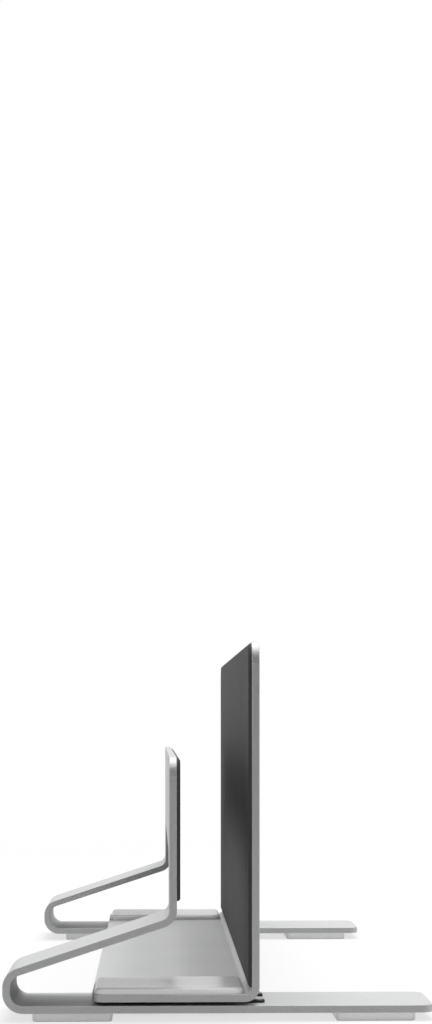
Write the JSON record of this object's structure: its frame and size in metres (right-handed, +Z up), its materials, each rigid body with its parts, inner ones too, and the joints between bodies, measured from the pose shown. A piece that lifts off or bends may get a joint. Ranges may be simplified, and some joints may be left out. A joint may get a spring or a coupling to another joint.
{
  "type": "vertical laptop stand",
  "caption": "Folded sheet-metal stand that holds a closed laptop on edge between a low fixed wall and a tall wall on a sliding deck, with rubber grip pads and feet.",
  "frame": {"origin": "on the table, under the middle of the stand's bounding box", "axes": "+X along the base strips from the folds to their free ends, +Y along the laptop slot to the back, +Z up"},
  "size_m": [0.099, 0.215, 0.0872],
  "materials": {
    "sheet": "fine bead-blasted, clear anodised silver",
    "grip": "matt charcoal rubber sheet",
    "soft_pad": "satin light grey silicone",
    "glide": "smooth black plastic film",
    "fastener": "plain zinc-plated steel"
  },
  "bodies": {
    "base": {"base_frame": "sheet", "fixed_grip_pad": "grip", "near_fold_foot": "soft_pad", "near_end_foot": "soft_pad", "far_fold_foot": "soft_pad", "far_end_foot": "soft_pad", "near_glide_strip": "glide", "far_glide_strip": "glide"},
    "slider": {"carriage": "sheet", "moving_grip_pad": "grip", "near_rest_pad": "soft_pad", "far_rest_pad": "soft_pad", "near_clamp_screw": "fastener", "far_clamp_screw": "fastener", "near_clamp_washer": "fastener", "far_clamp_washer": "fastener", "near_clamp_nut": "fastener", "far_clamp_nut": "fastener"}
  },
  "joints": [
    {"name": "slot_width", "type": "slide", "parent": "base", "child": "slider", "axis": [1, 0, 0], "range_m": [-0.009, 0.016]}
  ]
}
